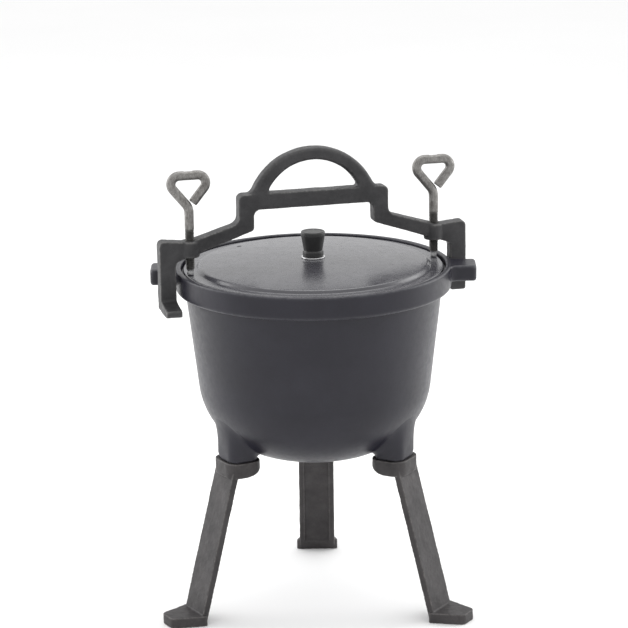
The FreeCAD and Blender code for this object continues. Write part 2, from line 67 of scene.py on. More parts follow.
# %% Grids, turned shapes, lofts and prisms
def grid_faces(rows, columns, wrap_rows=False):
    """Four-sided faces of a grid whose columns close on themselves, as lists of point numbers."""
    index = np.arange(rows * columns).reshape(rows, columns)
    if wrap_rows:
        index = np.vstack([index, index[:1]])
    index = np.hstack([index, index[:, :1]])
    quads = np.stack([index[:-1, :-1], index[:-1, 1:], index[1:, 1:], index[1:, :-1]], -1)
    return quads.reshape(-1, 4).tolist()


def turned(profile, steps=256, ring=False):
    """A profile of radius and height carried round the Z axis: x = r cos a, y = r sin a, z = z."""
    angle = np.linspace(0, 2 * math.pi, steps, endpoint=False)
    radius, height = profile[:, :1], profile[:, 1:]
    points = np.stack([radius * np.cos(angle), radius * np.sin(angle),
                       np.broadcast_to(height, (len(profile), steps))], -1)
    return points.reshape(-1, 3), grid_faces(len(profile), steps, ring)


def lofted(rows, ring=False):
    """Loops of points joined one to the next; open ends are drawn together to their own middle."""
    rows = np.asarray(rows)
    if not ring:
        middle = rows[[0, -1]].mean(1, keepdims=True) * np.ones((2, rows.shape[1], 1))
        rows = np.concatenate([middle[:1], rows, middle[1:]])
    return rows.reshape(-1, 3), grid_faces(rows.shape[0], rows.shape[1], ring)


def prism(loop, other):
    """A flat loop of points joined to the same loop elsewhere, with a flat face at each end."""
    count = len(loop)
    faces = grid_faces(2, count) + [list(range(count))[::-1], list(range(count, 2 * count))]
    return np.vstack([loop, other]), faces


ARC_STEP = 0.8                                # longest step round an arc of an outline


def outline(corner_list, step=2.0, closed=True):
    """Points at most step apart along straight sides, which a tangent arc joins at each corner.

    A corner is (a, b, radius). An arc turns the point where it leaves the side about its centre,
    which lies one radius to the side that the outline turns to."""
    points = np.array([c[:2] for c in corner_list], float)
    radii = np.array([c[2] for c in corner_list], float)
    into = points - np.roll(points, 1, 0)
    into /= np.hypot(*into.T)[:, None]
    away = np.roll(into, -1, 0)
    turn = np.arctan2(into[:, 0] * away[:, 1] - into[:, 1] * away[:, 0], (into * away).sum(1))
    if not closed:
        turn[[0, -1]] = 0.0
    back = (radii * np.tan(np.abs(turn) / 2))[:, None]
    start, stop = points - into * back, points + away * back
    line = []
    for i in range(len(points)):
        on_arc = abs(turn[i]) * radii[i] / min(step, ARC_STEP)
        bends = max(2, int(np.ceil(on_arc))) if back[i, 0] > 0 else 0
        part = np.linspace(0, turn[i], bends + 1)
        side = np.array([-into[i, 1], into[i, 0]]) * np.sign(turn[i])
        centre = start[i] + side * radii[i]
        arm = start[i] - centre
        line.append(np.stack([centre[0] + arm[0] * np.cos(part) - arm[1] * np.sin(part),
                              centre[1] + arm[0] * np.sin(part) + arm[1] * np.cos(part)], -1))
        if i + 1 < len(points) or closed:
            end = start[(i + 1) % len(points)]
            parts = max(1, int(np.ceil(np.hypot(*(end - stop[i])) / step)))
            line.append(stop[i] + (end - stop[i]) * np.linspace(0, 1, parts + 1)[1:-1, None])
    return np.vstack(line)


def rounded_box(half_x, half_y, radius, arc=9, side=9):
    """A loop round a rounded rectangle that has the same number of points whatever its size."""
    turn = np.linspace(0, math.pi / 2, arc)
    arcs = []
    for quarter, (sign_x, sign_y) in enumerate(((1, 1), (-1, 1), (-1, -1), (1, -1))):
        angle = turn + quarter * math.pi / 2
        arcs.append(np.stack([sign_x * (half_x - radius) + radius * np.cos(angle),
                              sign_y * (half_y - radius) + radius * np.sin(angle)], -1))
    share = np.linspace(0, 1, side + 2)[1:-1, None]
    loop = [part for i, bend in enumerate(arcs)
            for part in (bend, bend[-1] + (arcs[(i + 1) % 4][0] - bend[-1]) * share)]
    return np.vstack(loop)


def spun_by(points, degrees):
    """Points turned about the Z axis."""
    angle = math.radians(degrees)
    turn = np.array([[math.cos(angle), -math.sin(angle), 0], [math.sin(angle), math.cos(angle), 0],
                     [0, 0, 1]])
    return points @ turn.T


def eased(values):
    """Values held between 0 and 1 and eased at both ends: 3 t squared minus 2 t cubed."""
    t = np.clip(values, 0, 1)
    return t * t * (3 - 2 * t)


# %% [markdown]
# ## From arrays to pieces
# A piece gets its closed solids as arrays. Points that meet are merged, so that poles and seams are
# closed, and the faces are turned outwards. Then the piece takes its finish and rides on its body.

# %% Making and finishing a piece
def piece(name, *solids):
    """One object from closed solids of (points in millimetres, faces)."""
    shape = bmesh.new()
    for points, faces in solids:
        part = bpy.data.meshes.new(name)
        part.from_pydata((np.asarray(points) * MM).tolist(), [], faces)
        shape.from_mesh(part)
        bpy.data.meshes.remove(part)
    bmesh.ops.remove_doubles(shape, verts=shape.verts, dist=2e-6)
    bmesh.ops.recalc_face_normals(shape, faces=shape.faces)
    mesh = bpy.data.meshes.new(name)
    shape.to_mesh(mesh)
    shape.free()
    mesh.shade_smooth()
    made = bpy.data.objects.new(name, mesh)
    bpy.context.collection.objects.link(made)
    return made


def settled(made):
    """Puts what a piece's modifiers make into its mesh, and drops the modifiers."""
    graph = bpy.context.evaluated_depsgraph_get()
    mesh = bpy.data.meshes.new_from_object(made.evaluated_get(graph))
    made.modifiers.clear()
    made.data = mesh
    mesh.shade_smooth()
    return made


def cut_out(made, points, faces):
    """Takes a closed solid away from a piece, as a drill or a saw does."""
    tool = piece("tool", (points, faces))
    cut = made.modifiers.new("cut", "BOOLEAN")
    cut.operation, cut.object, cut.solver = "DIFFERENCE", tool, "EXACT"
    settled(made)
    bpy.data.objects.remove(tool)
    return made


def finished(made, finish, body, node):
    """Gives a piece its finish and its place in the motion, and hides the frame's node that it stands
    for.
    """
    made.data.materials.clear()
    made.data.materials.append(finish)
    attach(made, body)
    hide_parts(node)
    made.data.calc_loop_triangles()
    print(made.name, len(made.data.loop_triangles), "triangles")
    return made


# %% [markdown]
# ## The skin of a sand casting
# Molten iron takes the print of the sand: corners come out a little round, flat faces wave by a
# few tenths of a millimetre, and the skin is grainy. Overlapping solids are melted into one skin by a
# voxel remesh, smoothing rounds the corners, and a lattice noise moves the points along their normals.

# %% Melting, waving and wear
def lattice_noise(points, cell, seed):
    """Smooth noise from -1 to 1: random values on a lattice, blended across each cell."""
    place = points / cell
    base = np.floor(place).astype(np.int64)
    part = place - base
    part = part * part * (3 - 2 * part)
    total = np.zeros(len(points))
    for corner in np.array(np.meshgrid([0, 1], [0, 1], [0, 1])).T.reshape(-1, 3):
        key = ((base + corner) * [73856093, 19349663, 83492791]).sum(1) + seed * 2654435761
        key = (key ^ (key >> 13)) * 1274126177 & 0xFFFFFFFF
        key = (key ^ (key >> 16)) * 2246822519 & 0xFFFFFFFF
        weight = np.where(corner == 1, part, 1 - part).prod(1)
        total += weight * (key / 0x7FFFFFFF - 1)
    return total


def points_of(made, kind="co"):
    """A piece's points in millimetres, or their normals, as an array."""
    values = np.empty(len(made.data.vertices) * 3, np.float32)
    made.data.vertices.foreach_get(kind, values)
    return values.reshape(-1, 3).astype(float) / (MM if kind == "co" else 1)


def melted(made, voxel, rounding):
    """One skin round all solids of a piece: voxels of that size, then rounds of smoothing."""
    skin = made.modifiers.new("one_skin", "REMESH")
    skin.mode, skin.voxel_size, skin.adaptivity = "VOXEL", voxel * MM, 0.0
    smooth = made.modifiers.new("rounded", "SMOOTH")
    smooth.factor, smooth.iterations = 0.5, rounding
    return settled(made)


def waved(made, *waves, floor=None):
    """Moves each point along its normal by the sum of waves of (height, cell size, seed)."""
    points = points_of(made)
    shift = sum(height * lattice_noise(points, cell, seed) for height, cell, seed in waves)
    points += points_of(made, "normal") * shift[:, None]
    if floor is not None:
        points[:, 2] = np.maximum(points[:, 2], floor)
    made.data.vertices.foreach_set("co", (points * MM).astype(np.float32).ravel())
    made.data.update()
    return made


def worn(made, edge, rounds=2):
    """Stores how rubbed each point is, 0 to 1, as the attribute wear.

    The bend of the surface at a point is the mean over its edges of twice the drop of the neighbour
    below the point's tangent plane, over the edge's length squared. A bend as sharp as an edge of
    that radius in millimetres counts 1."""
    mesh = made.data
    ends = np.empty(len(mesh.edges) * 2, np.int32)
    mesh.edges.foreach_get("vertices", ends)
    first, second = ends.reshape(-1, 2).T
    points, normals = points_of(made), points_of(made, "normal")
    along = points[second] - points[first]
    square = np.maximum((along ** 2).sum(1), 1e-4)
    count = len(points)
    bend = np.bincount(first, -2 * (along * normals[first]).sum(1) / square, count)
    bend += np.bincount(second, 2 * (along * normals[second]).sum(1) / square, count)
    shared = np.maximum(np.bincount(first, minlength=count) + np.bincount(second, minlength=count), 1)
    bend /= shared
    for _ in range(rounds):
        near = np.bincount(first, bend[second], count) + np.bincount(second, bend[first], count)
        bend = (bend + near / shared) / 2
    wear = eased(bend * edge)
    mesh.attributes.new("wear", "FLOAT", "POINT").data.foreach_set("value", wear.astype(np.float32))
    return made


# %% [markdown]
# ## The finishes
# All iron here is one recipe with different numbers: a cloudy tone, a fine grain that is both colour
# and bump, shallow dimples from the sand, and paler metal where hands and other iron rub the edges.
# The recipe reads the piece's own coordinates, so the grain has its real size everywhere. The lid's
# lighter tones are painted reflection: it is the same iron as the pot, lit by the pale room above.

# %% Nodes for a finish
def node(tree, kind, settings=None, **inputs):
    """Adds a node; settings are its own options, inputs are values or other nodes' outputs."""
    made = tree.nodes.new(kind)
    for key, value in (settings or {}).items():
        setattr(made, key, value)
    for key, value in inputs.items():
        socket = made.inputs[key.replace("_", " ")]
        if isinstance(value, bpy.types.NodeSocket):
            tree.links.new(value, socket)
        else:
            socket.default_value = value
    return made


def blended(tree, share, first, second):
    """The colour between first and second; share says how much of the second."""
    made = node(tree, "ShaderNodeMix", {"data_type": "RGBA"})
    for index, value in ((0, share), (6, first), (7, second)):
        if isinstance(value, bpy.types.NodeSocket):
            tree.links.new(value, made.inputs[index])
        else:
            made.inputs[index].default_value = value
    return made.outputs[2]


def spread(tree, value, low, high, new_low, new_high):
    """A value from low to high, carried over to new_low to new_high."""
    made = node(tree, "ShaderNodeMapRange", {}, Value=value, From_Min=low, From_Max=high,
                To_Min=new_low, To_Max=new_high)
    return made.outputs[0]


def noise(tree, size, detail=4.0, rough=0.55, stretch=None):
    """Noise whose blotches are size millimetres wide, on the piece's own coordinates."""
    place = node(tree, "ShaderNodeTexCoord").outputs["Object"]
    if stretch:
        place = node(tree, "ShaderNodeMapping", {}, Vector=place, Scale=stretch).outputs[0]
    made = node(tree, "ShaderNodeTexNoise", {}, Vector=place, Scale=1 / (size * MM), Detail=detail,
                Roughness=rough)
    return made.outputs["Fac"]


def bumped(tree, height, depth, under=None):
    """A bump depth millimetres deep, on top of another bump."""
    made = node(tree, "ShaderNodeBump", {}, Height=height, Distance=depth * MM, Strength=1.0)
    if under is not None:
        tree.links.new(under, made.inputs["Normal"])
    return made.outputs[0]


def new_finish(name):
    """An empty finish and its shader."""
    finish = bpy.data.materials.new(name)
    finish.use_nodes = True
    tree = finish.node_tree
    return finish, tree, tree.nodes["Principled BSDF"]


def grey(value, red=1.0, blue=1.0):
    """A grey of that brightness, 0 to 255 as a screen shows it, tinted by factors of red and blue."""
    linear = ((value / 255 + 0.055) / 1.055) ** 2.4
    return (linear * red, linear, linear * blue, 1.0)


def cast_iron(name, dark, light, rubbed, gloss, grain, depth, cloud, specular=0.5):
    """Cast iron: dark and light are the tones of the skin, rubbed that of worn edges.

    gloss is (lowest, highest) roughness, grain the size of the sand's print in millimetres, depth
    how deep it is, and cloud the size of the blotches."""
    finish, tree, shader = new_finish(name)
    clouds = spread(tree, noise(tree, cloud, 5.0, 0.6), 0.33, 0.67, 0.0, 1.0)
    print_of_sand = noise(tree, grain, 5.0, 0.6)
    tone = blended(tree, clouds, dark, light)
    pits = spread(tree, print_of_sand, 0.3, 0.5, 0.45, 0.0)
    tone = blended(tree, pits, tone, tuple(v * 0.55 for v in dark[:3]) + (1.0,))
    wear = node(tree, "ShaderNodeAttribute", {"attribute_name": "wear"}).outputs["Fac"]
    broken = spread(tree, noise(tree, grain * 4, 3.0), 0.35, 0.65, 0.35, 1.0)
    rub = node(tree, "ShaderNodeMath", {"operation": "MULTIPLY", "use_clamp": True})
    tree.links.new(wear, rub.inputs[0])
    tree.links.new(broken, rub.inputs[1])
    tone = blended(tree, rub.outputs[0], tone, rubbed)
    tree.links.new(tone, shader.inputs["Base Color"])
    dull = spread(tree, noise(tree, grain * 6, 4.0), 0.3, 0.7, gloss[0], gloss[1])
    tree.links.new(dull, shader.inputs["Roughness"])
    shader.inputs["Specular IOR Level"].default_value = specular
    dimples = bumped(tree, noise(tree, grain * 7, 2.0), depth * 1.6)
    tree.links.new(bumped(tree, print_of_sand, depth, dimples), shader.inputs["Normal"])
    return finish


pot_finish = cast_iron("pot_iron", grey(22, 1.08, 1.75), grey(31, 1.06, 1.60), grey(80, 1.0, 1.12),
                       (0.33, 0.43), 0.9, 0.030, 60.0, 0.36)
# Painted reflection: the lid's tones are much lighter than the pot's, though it is the same iron, to
# paint in the pale room that its top reflects.
lid_finish_painted_reflection = cast_iron("lid_iron", grey(58, 1.02, 1.20), grey(70, 1.02, 1.16), grey(112, 1.0, 1.06),
                       (0.20, 0.29), 0.9, 0.018, 45.0, 0.75)
yoke_finish = cast_iron("yoke_iron", grey(34, 1.02, 1.10), grey(54, 1.02, 1.06), grey(112, 1.02, 0.98),
                        (0.42, 0.60), 1.1, 0.07, 22.0, 0.45)
leg_finish = cast_iron("leg_iron", grey(40, 1.12, 1.04), grey(60, 1.10, 1.02), grey(96, 1.06, 0.98),
                       (0.44, 0.60), 1.2, 0.09, 25.0, 0.36)
print("finishes", [m.name for m in (pot_finish, lid_finish_painted_reflection, yoke_finish, leg_finish)])


# %% [markdown]
# ## The bowl
# The bowl leans in by a few degrees from the band to a round knuckle and a flat crown. One profile
# goes from the middle of the bottom up the outside, over the rim and its lid seat, and down the
# inside. Turning it makes a wall with two faces and no seam.

# %% The bowl's profile
pot_low, pot_high = corners("pot")
RIM_HEIGHT = pot_high[2]
RIM_RADIUS = pot_high[1]
LUG_END = pot_high[0]
STUB_BOTTOM = pot_low[2]
RIM_WALL, RIM_BAND, BAND_STEP = 5.5, 23.5, 9.6
BODY_TAPER, KNUCKLE_RADIUS, CROWN_RADIUS = math.radians(6.7), 80.0, 190.0
POT_WALL, SEAT_DEPTH, POT_DEPTH = 5.0, 7.0, 202.0
POT_BOTTOM = RIM_HEIGHT - POT_DEPTH
UNDER_BAND, SIDE_ROWS = 5.0, 16               # where the side's line ends, and its points
band_bottom = RIM_HEIGHT - RIM_BAND
body_radius = RIM_RADIUS - BAND_STEP


def bowl_line(wall, step=3.0):
    """Radius and height from the middle of the bottom to just under the band, moved in by wall.

    The crown is an arc about the axis; the knuckle is an arc that touches the crown and the side."""
    crown_z = POT_BOTTOM + CROWN_RADIUS
    slope = math.tan(BODY_TAPER)
    start = body_radius - band_bottom * slope - KNUCKLE_RADIUS / math.cos(BODY_TAPER)
    a, b = slope ** 2 + 1, 2 * start * slope - 2 * crown_z
    c = start ** 2 + crown_z ** 2 - (CROWN_RADIUS - KNUCKLE_RADIUS) ** 2
    knuckle_z = (-b - math.sqrt(b ** 2 - 4 * a * c)) / (2 * a)
    knuckle_r = start + knuckle_z * slope
    meet = math.atan2(knuckle_z - crown_z, knuckle_r)
    crown = np.arange(-math.pi / 2, meet, step / CROWN_RADIUS)
    knuckle = np.linspace(meet, -BODY_TAPER, int(KNUCKLE_RADIUS * (-BODY_TAPER - meet) / step) + 1)
    crown_part = (CROWN_RADIUS - wall) * np.stack([np.cos(crown), np.sin(crown)], -1) + [0, crown_z]
    knuckle_part = ((KNUCKLE_RADIUS - wall) * np.stack([np.cos(knuckle), np.sin(knuckle)], -1)
                    + [knuckle_r, knuckle_z])
    top = np.array([body_radius - wall / math.cos(BODY_TAPER) - UNDER_BAND * slope,
                    band_bottom - UNDER_BAND])
    side = knuckle_part[-1] + (top - knuckle_part[-1]) * np.linspace(0, 1, SIDE_ROWS)[1:, None]
    line = np.vstack([crown_part, knuckle_part, side])
    line[0, 0] = 0.0
    return line


outside, inside = bowl_line(0.0), bowl_line(POT_WALL)
mouth = RIM_RADIUS - RIM_WALL
seat = RIM_HEIGHT - SEAT_DEPTH
throat = body_radius - POT_WALL / math.cos(BODY_TAPER)
rim = outline([(*outside[-1], 0), (body_radius, band_bottom, 2.5), (RIM_RADIUS, band_bottom, 3.2),
               (RIM_RADIUS, RIM_HEIGHT, 2.0), (mouth, RIM_HEIGHT, 1.4), (mouth, seat, 1.0),
               (throat, seat, 1.6), (throat, band_bottom, 2.0), (*inside[-1], 0)], 1.6, closed=False)
bowl_profile = np.vstack([outside[:-1], rim, inside[-2::-1]])
bowl = turned(bowl_profile, 288)
print("bowl profile", len(bowl_profile), "points, rim at", round(RIM_HEIGHT, 1), "mm")

# %% [markdown]
# ## The stubs
# Under the bowl three short stubs carry the legs. Each grows out of the bowl in a soft skirt. A skirt
# is a fan of strands: every strand leaves the stub's shoulder straight upwards and lands on the bowl
# along its surface, so the light runs over the joint without an edge. A cubic does just that.

# %% Skirts from the stubs to the bowl
STUB_INSET, STUB_DEPTH, STUB_WIDTH, STUB_CORNER = 38.4, 28.0, 34.0, 8.0
STUB_RADIUS = body_radius - STUB_INSET
LEG_AZIMUTHS = {"leg_front_left": 210.0, "leg_front_right": 330.0, "leg_rear": 90.0}
SHOULDER = 2.2
GAP_HEIGHT, GAP_SIDE = 4.5, 0.8               # gap over a collar, and its place in radians
SKIRT_TOP, SKIRT_IN, SKIRT_SIDE = 212.0, 23.0, 29.0
SKIRT_SINK = 0.25                             # how far a strand ends inside the bowl's skin
collar_top = corners("leg_rear")[1][2]
run = np.concatenate([[0], np.cumsum(np.hypot(*np.diff(outside, axis=0).T))])
heading = np.gradient(outside, run, axis=0)
heading /= np.hypot(*heading.T)[:, None]


def on_bowl(along, azimuth, depth):
    """Points on the bowl at a run along its profile and an azimuth, moved inwards by depth."""
    radius, height = (np.interp(along, run, outside[:, i]) for i in (0, 1))
    out_r, out_z = (np.interp(along, run, heading[:, i]) for i in (0, 1))
    radius, height = radius - depth * out_z, height + depth * out_r
    return np.stack([radius * np.cos(azimuth), radius * np.sin(azimuth), height], -1)


def stub(notch):
    """A stub on the +X side; notch is the side, -1 or 1, where a gap shows over the collar."""
    half_x, half_y = STUB_DEPTH / 2, STUB_WIDTH / 2

    def loop(outset, height):
        flat = rounded_box(half_x + outset, half_y + outset, STUB_CORNER + outset) + [STUB_RADIUS, 0]
        return np.column_stack([flat, np.broadcast_to(height, len(flat))])

    base = loop(SHOULDER, collar_top)
    direction = np.arctan2(base[:, 1] / half_y, (base[:, 0] - STUB_RADIUS) / half_x)
    ahead, aside = np.cos(direction), np.sin(direction)
    gap = GAP_HEIGHT * eased(1.6 - 3.2 * np.abs(direction - notch * GAP_SIDE)) * abs(notch)
    shoulder = collar_top + gap
    foot_run = np.interp(STUB_RADIUS, outside[:, 0], run)
    reach_out = np.interp(SKIRT_TOP, outside[:, 1], run) - foot_run
    reach_in = foot_run - np.interp(STUB_RADIUS - SKIRT_IN, outside[:, 0], run)
    reach = np.where(ahead > 0, reach_out, reach_in)
    reach_side = SKIRT_SIDE / STUB_RADIUS
    along, azimuth = foot_run + reach * ahead, reach_side * aside
    landing = on_bowl(along, azimuth, SKIRT_SINK)
    beyond = on_bowl(along + 0.05 * reach * ahead, azimuth + 0.05 * reach_side * aside, SKIRT_SINK)
    start = loop(SHOULDER, shoulder + 1.6)
    length = np.linalg.norm(landing - start, axis=1, keepdims=True)
    leave = np.array([0, 0, 1.0]) * length
    arrive = (beyond - landing) / np.linalg.norm(beyond - landing, axis=1, keepdims=True) * length
    t = np.linspace(0, 1, 26)[1:, None, None]
    strands = ((2 * t ** 3 - 3 * t ** 2 + 1) * start + (t ** 3 - 2 * t ** 2 + t) * leave * 0.8
               + (3 * t ** 2 - 2 * t ** 3) * landing + (t ** 3 - t ** 2) * arrive * 0.9)
    low = [loop(-1.4, STUB_BOTTOM), loop(-0.5, STUB_BOTTOM + 0.4), loop(0, STUB_BOTTOM + 1.4),
           loop(0, collar_top - 4), loop(0, shoulder), loop(SHOULDER - 1.0, shoulder),
           loop(SHOULDER - 0.3, shoulder + 0.4), start]
    inner = [on_bowl(foot_run + reach * ahead * k, azimuth * k, 2.5) for k in (0.97, 0.6, 0.2)]
    return lofted(np.concatenate([low, strands, inner]))


NOTCHES = {"leg_front_left": -1, "leg_front_right": 1, "leg_rear": 0}
stubs = []
for leg_name, leg_azimuth in LEG_AZIMUTHS.items():
    skin_points, skin_faces = stub(NOTCHES[leg_name])
    stubs.append((spun_by(skin_points, leg_azimuth), skin_faces))
print("stubs", len(stubs), "at radius", round(STUB_RADIUS, 1), "mm")

# %% [markdown]
# ## The lugs
# Two lugs stand out from the rim for the yoke's hooks. A lug is a loft along the radius: its sections
# are rounded rectangles whose width follows the fillet at the root and the round end.

# %% Lofting the lugs
LUG_WIDTH, LUG_THICKNESS, LUG_ROOT_ROUND, LUG_END_ROUND = 33.0, 16.5, 8.0, 3.4
LUG_BURY = 4.4                                # how far a lug starts inside the rim


def lug():
    """A lug on the +X side. Its half width follows a circle at the root and one at the end."""
    half = LUG_WIDTH / 2
    root_y = half + LUG_ROOT_ROUND
    root_x = math.sqrt((RIM_RADIUS + LUG_ROOT_ROUND) ** 2 - root_y ** 2)
    first, end_round = RIM_RADIUS - LUG_BURY, LUG_END_ROUND
    x = np.concatenate([np.linspace(first, root_x, 14), np.linspace(root_x, LUG_END - end_round, 12)[1:],
                        LUG_END - end_round + end_round * np.sin(np.linspace(0, math.pi / 2, 9))[1:]])
    root = np.clip(root_x - x, 0, 0.95 * LUG_ROOT_ROUND)
    tip = np.clip(x - (LUG_END - end_round), 0, end_round)
    width = (root_y - np.sqrt(LUG_ROOT_ROUND ** 2 - root ** 2)
             - 1.2 * (end_round - np.sqrt(end_round ** 2 - tip ** 2)))
    height = (LUG_THICKNESS - 0.3) / 2 - 0.6 * (end_round - np.sqrt(end_round ** 2 - tip ** 2))
    middle = RIM_HEIGHT - LUG_THICKNESS / 2 - 0.1
    rows = []
    for i in range(len(x)):
        flat = rounded_box(width[i], height[i], 2.6, 6, 8)
        rows.append(np.column_stack([np.full(len(flat), x[i]), flat[:, 0], flat[:, 1] + middle]))
    return lofted(rows)


lug_points, lug_faces = lug()
pot = piece("pot_casting", bowl, *stubs, (lug_points, lug_faces), (spun_by(lug_points, 180), lug_faces))
waved(pot, (0.10, 34.0, 1), (0.05, 11.0, 2))
worn(pot, 2.2)
finished(pot, pot_finish, "pot_and_legs", "pot")

# %% [markdown]
# ## The legs
# A leg is a rough casting: a collar that slips over its stub, a sloping bar with a shallow channel
# down its inner face, and a foot plate. Each part is a simple closed solid, and melting them together
# gives the soft inner corners that a sand casting has.

# %% Collar, bar and foot
COLLAR_WALL, COLLAR_HEIGHT, SOCKET_CLEARANCE = 4.6, 15.5, 0.3
LEG_WIDTH, LEG_THICKNESS, LEG_INSET, LEG_SPREAD = 37.5, 7.0, 2.0, 40.0
CHANNEL_LIP, CHANNEL_DEPTH = 5.5, 2.6
FOOT_WIDTH, FOOT_LENGTH, FOOT_THICKNESS, FOOT_TOE, FOOT_CORNER = 45.5, 35.5, 10.5, 22.0, 6.0


def collar():
    """A ring round the stub; its underside curves up towards the axis of the pot."""
    half_x, half_y = STUB_DEPTH / 2 + SOCKET_CLEARANCE, STUB_WIDTH / 2 + SOCKET_CLEARANCE
    inner = rounded_box(half_x, half_y, STUB_CORNER, 9, 9)
    outer = rounded_box(half_x + COLLAR_WALL, half_y + COLLAR_WALL, STUB_CORNER + COLLAR_WALL, 9, 9)
    bottom = collar_top - COLLAR_HEIGHT
    rows = []
    for flat, level in ((outer, 0), (outer, 1), (inner, 1), (inner, 0)):
        rise = COLLAR_HEIGHT / 2 * np.clip(-flat[:, 0] / (half_x + COLLAR_WALL), 0, 1) ** 2
        height = np.full(len(flat), collar_top) if level else bottom + rise
        rows.append(np.column_stack([flat + [STUB_RADIUS, 0], height]))
    return lofted(rows, ring=True)


def bar():
    """The sloping bar: a flat section with raised edges on its inner face, carried down the slope."""
    bottom = collar_top - COLLAR_HEIGHT
    slope = LEG_SPREAD / bottom
    front = STUB_RADIUS + STUB_DEPTH / 2 + SOCKET_CLEARANCE + COLLAR_WALL
    across = LEG_THICKNESS * math.hypot(1, slope)
    height = np.linspace(0.0, bottom + COLLAR_HEIGHT / 2, 80)
    face = front - LEG_INSET + LEG_SPREAD - slope * height
    channel = eased((height - FOOT_THICKNESS + 2) / 4) * eased((bottom - 1 - height) / 5)
    half, lip = LEG_WIDTH / 2, LEG_WIDTH / 2 - CHANNEL_LIP
    width = np.array([half, half, lip, lip - 1.6, 1.6 - lip, -lip, -half, -half])
    back = np.array([0, 1, 1, 1, 1, 1, 1, 0]) * across
    sunk = np.array([0, 0, 0, 1, 1, 0, 0, 0]) * CHANNEL_DEPTH
    x = face[:, None] - back + sunk * channel[:, None]
    rows = np.stack([x, np.broadcast_to(width, x.shape), np.repeat(height[:, None], 8, 1)], -1)
    count = len(height)
    ends = [list(range(8)), list(range(8 * count - 8, 8 * count))[::-1]]
    return rows.reshape(-1, 3), grid_faces(count, 8) + ends


def foot_plate():
    """A plate that narrows outwards from the bar, with round corners at the toe."""
    bottom = collar_top - COLLAR_HEIGHT
    across = LEG_THICKNESS * math.hypot(1, LEG_SPREAD / bottom)
    front = STUB_RADIUS + STUB_DEPTH / 2 + SOCKET_CLEARANCE + COLLAR_WALL
    heel_x = front - LEG_INSET + LEG_SPREAD - across
    toe_x = heel_x + FOOT_LENGTH
    flat = outline([(heel_x, -FOOT_WIDTH / 2, 2.0), (toe_x, -FOOT_TOE / 2, FOOT_CORNER),
                    (toe_x, FOOT_TOE / 2, FOOT_CORNER), (heel_x, FOOT_WIDTH / 2, 2.0)])
    return prism(np.column_stack([flat, np.zeros(len(flat))]),
                 np.column_stack([flat, np.full(len(flat), FOOT_THICKNESS)]))


for leg_name, leg_azimuth in LEG_AZIMUTHS.items():
    solids = [(spun_by(points, leg_azimuth), faces) for points, faces in (collar(), bar(), foot_plate())]
    leg = melted(piece(leg_name + "_casting", *solids), 0.75, 3)
    waved(leg, (0.22, 9.0, 3), (0.10, 2.6, 4), floor=0.0)
    worn(leg, 1.6)
    finished(leg, leg_finish, "pot_and_legs", leg_name)

# %% [markdown]
# ## The lid
# The lid has a flat edge for the screws, a small step up to a low dome, and a ring underneath that
# drops into the bowl. It is one closed profile, turned. The vent hole is drilled afterwards.

# %% Turning the lid
lid_low, lid_high = corners("lid")
LID_RADIUS = lid_high[0]
LID_FLANGE, FLANGE_WIDTH, STEP_RUN, DOME_RISE, LID_WALL = 5.0, 13.0, 3.0, 5.0, 5.0
RING_DEPTH, RING_WALL, RING_CLEARANCE = 4.5, 5.5, 1.0
BOLT_HOLE = 3.08
VENT_RADIUS, VENT_INSET, VENT_AZIMUTH = 2.5, 29.0, 138.0
dome_top = lid_high[2]
flange_bottom = lid_low[2] + RING_DEPTH
flange_top = flange_bottom + LID_FLANGE
dome_edge = LID_RADIUS - FLANGE_WIDTH - STEP_RUN
ring_outer = throat - RING_CLEARANCE
ring_inner = ring_outer - RING_WALL


def dome(radius, drop=0.0):
    """Points of the dome's arc at these radii, lowered by drop."""
    ball = (dome_edge ** 2 + DOME_RISE ** 2) / (2 * DOME_RISE)
    height = dome_top - DOME_RISE + np.sqrt(ball ** 2 - radius ** 2) - (ball - DOME_RISE) - drop
    return [(r, z, 0.0) for r, z in zip(radius, height)]


lid_corners = [(BOLT_HOLE, dome_top, 0.0), (13.0, dome_top, 0.0)]
lid_corners += dome(np.linspace(16.0, dome_edge - 3, 30))
lid_corners += [(*dome(np.array([dome_edge]))[0][:2], 2.6), (dome_edge + STEP_RUN, flange_top, 1.8),
                (LID_RADIUS, flange_top, 1.5), (LID_RADIUS, flange_bottom, 1.0),
                (ring_outer, flange_bottom, 0.8), (ring_outer, lid_low[2], 1.2),
                (ring_inner, lid_low[2], 1.2)]
lid_corners += [(*dome(np.array([ring_inner - STEP_RUN]), LID_WALL)[0][:2], 3.0)]
lid_corners += dome(np.linspace(ring_inner - STEP_RUN - 6, 12.0, 24), LID_WALL)
lid_corners += [(9.0, dome_top - LID_WALL, 0.0), (BOLT_HOLE, dome_top - LID_WALL, 0.0)]
lid = piece("lid_casting", turned(outline(lid_corners, 1.8), 288, ring=True))

drill = outline([(0, lid_low[2] - 4, 0), (VENT_RADIUS, lid_low[2] - 4, 0), (VENT_RADIUS, dome_top + 4, 0),
                 (0, dome_top + 4, 0)], 30, closed=False)
drill_points, drill_faces = turned(drill, 40)
vent_offset = LID_RADIUS - VENT_INSET
cut_out(lid, spun_by(drill_points + [vent_offset, 0, 0], VENT_AZIMUTH), drill_faces)
waved(lid, (0.07, 30.0, 5), (0.04, 10.0, 6))
worn(lid, 2.0)
finished(lid, lid_finish_painted_reflection, "lid", "lid")

# %% [markdown]
# ## The knob and its fixings
# The knob is moulded plastic: wide and slightly hollow on top, narrow at the waist, with a foot and a
# fine line where the two halves of the mould met. It stands on a bright washer, and a slotted bolt
# with its own washer holds it from below.

